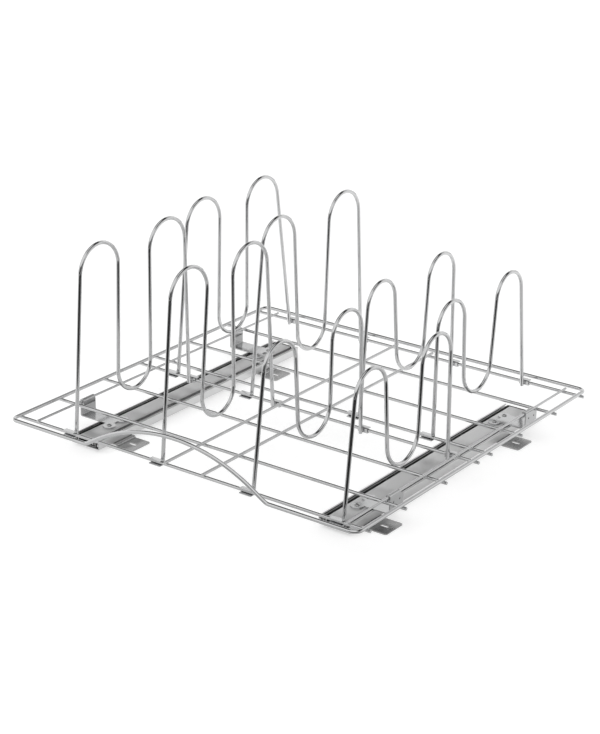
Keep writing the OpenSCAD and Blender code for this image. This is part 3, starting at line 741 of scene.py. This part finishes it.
bracket_chrome = chrome("bracket_chrome", 0.54, 0.12, 120)
for side, way in SIDES.items():
    stringer_low, stringer_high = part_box(f"side_stringer_{side}")
    stringer_x = (stringer_low[0] + stringer_high[0]) / 2
    stringer_z = (stringer_low[2] + stringer_high[2]) / 2
    for end, middle in PLATE_MIDDLES.items():
        node = f"support_bracket_{end}_{side}"
        low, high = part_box(node)
        foot = low[2] + BRACKET_T / 2
        hook = STRINGER_D / 2 + HOOK_GAP + BRACKET_T / 2
        plate = way * (stringer_x - slide_centre[side]) + hook
        rise = stringer_z - foot - PLATE_BEND
        fold = Fold((0, foot), 0, (plate - PLATE_BEND, 90, PLATE_BEND), (rise, 180, hook),
                    (HOOK_LIP, 0, 0))
        front, rear = middle - PLATE_L / 2, middle + PLATE_L / 2
        ears = bracket_rivets_y(end)
        neck = math.degrees(math.asin((rear - ears[1]) / EAR_R))
        toe = math.degrees(math.asin((front - ears[0]) / EAR_R))
        shoulder = fold.creases[-1 - 180 // BEND_STEP]
        outline = ([(fold.length, front), (fold.length, rear - SHOULDER)]
                   + arc((shoulder - SHOULDER, rear - SHOULDER), SHOULDER, 0, 90, 6)
                   + arc((0, ears[1]), EAR_R, neck, 270, 18)
                   + arc((0, ears[0]), EAR_R, 90, 360 + toe, 22))
        drop = fold.creases[-1] - math.pi * hook - PLATE_HOLE_DROP
        holes = [ring((0, y), RIVET_HOLE) for y in ears]
        holes += [ring((drop, middle + step * PLATE_HOLES / 2), PLATE_HOLE_R, 16)
                  for step in (-1, 1)]
        bracket = folded_sheet(node + "_visual", fold, outline, holes, BRACKET_T,
                               lambda point, across: (slide_centre[side] + way * point.x,
                                                      across, point.y))
        install(bracket, bracket_chrome, "tray", "chrome_sheet", node)

# Bracket rivets. Two hollow rivets hold each bracket's foot, with their heads on top.
RIVET_TAIL = 0.0008
places = [(slide_centre[side], y, slide_floor[side] + INNER_TOP - INNER_T / 2)
          for side in SIDES for end in PLATE_MIDDLES for y in bracket_rivets_y(end)]
rivets = repeated("bracket_rivets_visual", rivet_shape(INNER_T + BRACKET_T, RIVET_TAIL, 1),
                  places, rivet_finish)
install(rivets, rivet_finish, "tray", "rivet_steel", "bracket_rivets")

# Wire grid. Eight straight cross wires and four stringers are resistance welded where they
# cross, then chromed together with the rim. The ends of the wires are rounded by tumbling.
WIRE_SIDES = 20
END_ROUND = ((0.0, 0.55), (0.25, 0.82), (0.6, 0.96), (1.0, 1.0))   # distances and radii
wire_chrome = chrome("wire_chrome", 0.62, 0.05, 90)


def wire_tree():
    """Draws a round wire along the piece's line of points, as thick as each point says."""
    tree = bpy.data.node_groups.new("bent_wire", "GeometryNodeTree")
    socket_of(tree, "Route", "NodeSocketGeometry")
    socket_of(tree, "Diameter", "NodeSocketFloat")
    socket_of(tree, "Sides", "NodeSocketInt")
    socket_of(tree, "Finish", "NodeSocketMaterial")
    socket_of(tree, "Wire", "NodeSocketGeometry", "OUTPUT")
    graph = Graph(tree)
    given = graph.tree.nodes.new("NodeGroupInput")
    route, diameter, sides, finish = (Value(graph, given.outputs[name]) for name in
                                      ("Route", "Diameter", "Sides", "Finish"))
    share = graph.node("GeometryNodeInputNamedAttribute", {"data_type": "FLOAT"},
                       {"Name": "thickness"})
    line = graph.node("GeometryNodeMeshToCurve", None, {"Mesh": route})
    line = graph.node("GeometryNodeSetCurveRadius", None, {"Curve": line, "Radius": share})
    section = graph.node("GeometryNodeCurvePrimitiveCircle", {"mode": "RADIUS"},
                         {"Resolution": sides, "Radius": diameter * 0.5})
    wire = graph.node("GeometryNodeCurveToMesh", None,
                      {"Curve": line, "Profile Curve": section, "Fill Caps": True})
    wire = graph.node("GeometryNodeRealizeInstances", None, {"Geometry": wire})
    wire = graph.node("GeometryNodeSetMaterial", None, {"Geometry": wire, "Material": finish})
    graph.node("NodeGroupOutput", None, {"Wire": wire})
    return tree


WIRE = wire_tree()


def bent_wire(name, route, diameter, finish, closed=False):
    """A wire along a route. An open wire's ends are rounded."""
    points = [(Vector(point), 1.0) for point in route]
    if not closed:
        for _ in range(2):
            points.reverse()
            end, inward = points[-1][0], (points[-2][0] - points[-1][0]).normalized()
            points[-1:] = [(end + inward * away * diameter / 2, thick)
                           for away, thick in reversed(END_ROUND)]
    mesh = bpy.data.meshes.new(name)
    edges = [(i, i + 1) for i in range(len(points) - 1)]
    edges += [(len(points) - 1, 0)] if closed else []
    mesh.from_pydata([point for point, thick in points], edges, [])
    mesh.attributes.new("thickness", "FLOAT", "POINT").data.foreach_set(
        "value", [thick for point, thick in points])
    return grown(new_piece(name, mesh), WIRE, Diameter=diameter, Sides=WIRE_SIDES, Finish=finish)


def straight_wire(node, axis, finish):
    """A straight wire in the place of a CAD node, along X, 0, or Y, 1."""
    low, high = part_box(node)
    ends = [(low + high) / 2 for _ in range(2)]
    ends[0][axis], ends[1][axis] = low[axis], high[axis]
    wire = bent_wire(node + "_visual", ends, high[2] - low[2], finish)
    install(wire, finish, "tray", "chrome_wire", node)


CROSS_WIRES = [f"cross_wire_{i}" for i in range(1, 9)]
CENTRE_STRINGERS = ["centre_stringer_left", "centre_stringer_right"]
SIDE_STRINGERS = ["side_stringer_left", "side_stringer_right"]
for node in CROSS_WIRES:
    straight_wire(node, 0, wire_chrome)
for node in CENTRE_STRINGERS + SIDE_STRINGERS:
    straight_wire(node, 1, wire_chrome)

# Rim. One length of wire is bent round the tray and butt welded to itself. Its front rail
# rises in the middle as a hand-hold, a long flat arch between two tight bends.
RIM_CORNER = 0.010
GRIP_RISE, GRIP_R = 0.0445, 0.232
GRIP_BEND, GRIP_STRAIGHT = 0.014, 0.018
RIM_WIRE = 0.005
low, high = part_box("perimeter_wire")
rim_z = low[2] + RIM_WIRE / 2
left, right = low[0] + RIM_WIRE / 2, high[0] - RIM_WIRE / 2
front, back = low[1] + RIM_WIRE / 2, high[1] - RIM_WIRE / 2
arch_z = GRIP_RISE - GRIP_R
bend_x = math.sqrt((GRIP_R + GRIP_BEND) ** 2 + GRIP_STRAIGHT ** 2 - (GRIP_BEND - arch_z) ** 2)
lean = math.degrees(math.atan2(GRIP_BEND - arch_z, bend_x)
                    + math.atan2(GRIP_STRAIGHT, GRIP_R + GRIP_BEND))
grip = (arc((-bend_x, GRIP_BEND), GRIP_BEND, -90, -lean, 8)
        + arc((0, arch_z), GRIP_R, 180 - lean, lean, 60)
        + arc((bend_x, GRIP_BEND), GRIP_BEND, 180 + lean, 270, 8))
corner_x, corner_y = right - RIM_CORNER, back - RIM_CORNER
middle_x, middle_y = (left + right) / 2, (front + back) / 2
route = []
for way_x, way_y, start in ((1, -1, 270), (1, 1, 0), (-1, 1, 90), (-1, -1, 180)):
    centre = (middle_x + way_x * (corner_x - middle_x), middle_y + way_y * (corner_y - middle_y))
    route += [(x, y, rim_z) for x, y in arc(centre, RIM_CORNER, start, start + 90, 12)]
route += [(middle_x + x, front, rim_z + z) for x, z in grip]
rim = bent_wire("perimeter_wire_visual", route, RIM_WIRE, wire_chrome, closed=True)
install(rim, wire_chrome, "tray", "chrome_wire", "perimeter_wire")

# Grid welds. The wires are pressed together hot at each crossing, which leaves a small
# bead of steel on both sides of the joint, plated over with the rest.
WELD, WELD_SQUASH = 0.0032, (1, 1, 0.55)


def middle_of(node):
    low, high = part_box(node)
    return (low + high) / 2


CROSS_D = 0.0042
cross_z = middle_of("cross_wire_1").z
places = []
for node in CROSS_WIRES:
    y = middle_of(node).y
    places += [(x, y, cross_z + CROSS_D / 2) for x in
               (left, right, *(middle_of(stringer).x for stringer in
                               CENTRE_STRINGERS + SIDE_STRINGERS))]
welds = repeated("grid_welds_visual", ball_shape(WELD, WELD_SQUASH, 12), places, wire_chrome)
install(welds, wire_chrome, "tray", "chrome_wire")

# Dividers. Each is one wire bent as an M, and its sprung outer legs press two clips against
# the cross wires. Four stand tall and four short, and each is sprung a little differently.
DIVIDER_WIRE = 0.005
CLIP_BACK = 0.0035             # from the cross wire's centre to the outside of the clip
LEG_INSET = 0.00605            # from the cross wire's centre to the leg's
SHAPES = {   # height of the arches' centres above the rim, their radius and distance apart, and
    # the height and radius of the dip
    "tall": (0.192, 0.035, 0.130, 0.0515, 0.0315),
    "short": (0.133, 0.0315, 0.140, 0.057, 0.0335)}
DIVIDERS = {   # the cross wires under its feet, and how far its arches are set back, spread and
    # raised, and its dip set back
    "tall_divider_1": (1, 4, 0.0045, 0, 0.003, -0.003),
    "tall_divider_2": (4, 8, -0.0055, 0, -0.001, -0.001),
    "tall_divider_3": (1, 4, 0.0015, -0.010, 0, -0.0045),
    "tall_divider_4": (4, 8, 0.004, 0.018, -0.003, 0.002),
    "short_divider_1": (1, 4, 0.0075, -0.003, 0.001, 0.002),
    "short_divider_2": (5, 8, 0.004, 0.003, -0.001, 0.001),
    "short_divider_3": (1, 4, 0.0065, -0.001, 0, 0.0015),
    "short_divider_4": (5, 8, -0.008, 0.001, -0.0005, -0.0015)}


def tangent(start, start_way, start_r, end, end_way, end_r):
    """Where a straight run touches two bends, each on the side that its way says."""
    along = (end - start).normalized()
    across = Vector((-along.y, along.x))
    share = (start_way * start_r - end_way * end_r) / (end - start).length
    out = share * along + math.sqrt(1 - share ** 2) * across
    return start + start_way * start_r * out, end + end_way * end_r * out


def bend_points(centre, radius, enter, leave, way):
    """Points round a bend, turning left where way is 1 and right where it is -1."""
    start = math.degrees(math.atan2(*(enter - centre).yx))
    end = math.degrees(math.atan2(*(leave - centre).yx))
    sweep = way * ((way * (end - start)) % 360)
    steps = max(4, math.ceil(abs(sweep) / 6))
    return arc(centre, radius, start, start + sweep, steps)


for node, (first, last, set_back, spread, rise, dip_back) in DIVIDERS.items():
    arch_h, arch_r, pitch, dip_h, dip_r = SHAPES[node.split("_")[0]]
    x = middle_of(node).x
    foot = cross_z - CLIP_BACK
    ends = [middle_of(f"cross_wire_{first}").y + LEG_INSET,
            middle_of(f"cross_wire_{last}").y - LEG_INSET]
    centre = sum(ends) / 2 + set_back
    arches = [Vector((centre + way * (pitch + spread) / 2, rim_z + arch_h + rise))
              for way in (-1, 1)]
    dip = Vector((centre + dip_back, rim_z + dip_h))
    feet = [Vector((y, foot)) for y in ends]
    touches = [tangent(feet[0], 1, 0, arches[0], 1, arch_r),
               tangent(arches[0], 1, arch_r, dip, -1, dip_r),
               tangent(dip, -1, dip_r, arches[1], 1, arch_r),
               tangent(arches[1], 1, arch_r, feet[1], 1, 0)]
    route = ([tuple(feet[0])]
             + bend_points(arches[0], arch_r, touches[0][1], touches[1][0], -1)
             + bend_points(dip, dip_r, touches[1][1], touches[2][0], 1)
             + bend_points(arches[1], arch_r, touches[2][1], touches[3][0], -1)
             + [tuple(feet[1])])
    divider = bent_wire(node + "_visual", [(x, y, z) for y, z in route], DIVIDER_WIRE, wire_chrome)
    install(divider, wire_chrome, node, "chrome_wire", node)

# Divider clips. A short length of channel is hooked over a cross wire at each foot, and
# welded to the leg. It slides along the wire, so that the dividers can be set anywhere.
CLIP_T, CLIP_BEND = 0.0012, 0.0011
CLIP_LIP = 0.005
clip_chrome = chrome("clip_chrome", 0.58, 0.1, 200)
FRONT_CLIP, FRONT_TAIL = 0.0175, 0.0045   # length, and how far it runs past the leg
REAR_CLIP, REAR_TAIL = 0.014, 0.006
LEG_WELD, LEG_WELD_SQUASH = 0.004, (1.1, 0.5, 1.3)
LEG_WELD_RISE = 0.001          # of its middle above the cross wire's
for node, (first, last, *_) in DIVIDERS.items():
    x = middle_of(node).x
    places = []
    clips = []
    for wire, facing, start, length in ((first, 1, x + FRONT_TAIL - FRONT_CLIP, FRONT_CLIP),
                                        (last, -1, x - REAR_TAIL, REAR_CLIP)):
        y = middle_of(f"cross_wire_{wire}").y
        half = CLIP_BACK - CLIP_T / 2
        run = CLIP_LIP + half - CLIP_BEND
        fold = Fold((-CLIP_LIP, half), 0, (run, -90, CLIP_BEND),
                    (2 * half - 2 * CLIP_BEND, -90, CLIP_BEND), (run, 0, 0))
        clips.append(folded_sheet(node + "_clips_visual", fold, strip(fold, 0, length), [], CLIP_T,
                                  lambda point, across: (start + across, y + facing * point.x,
                                                         cross_z + point.y)))
        places.append((x, y + facing * CLIP_BACK, cross_z + LEG_WELD_RISE))
    install(joined(*clips), clip_chrome, node, "chrome_sheet", node + "_clips")
    welds = repeated(node + "_welds_visual", ball_shape(LEG_WELD, LEG_WELD_SQUASH, 12), places,
                     wire_chrome)
    install(welds, wire_chrome, node, "chrome_wire")

# Size. The box round the visual model, leaving out the table and the card.
low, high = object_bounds()
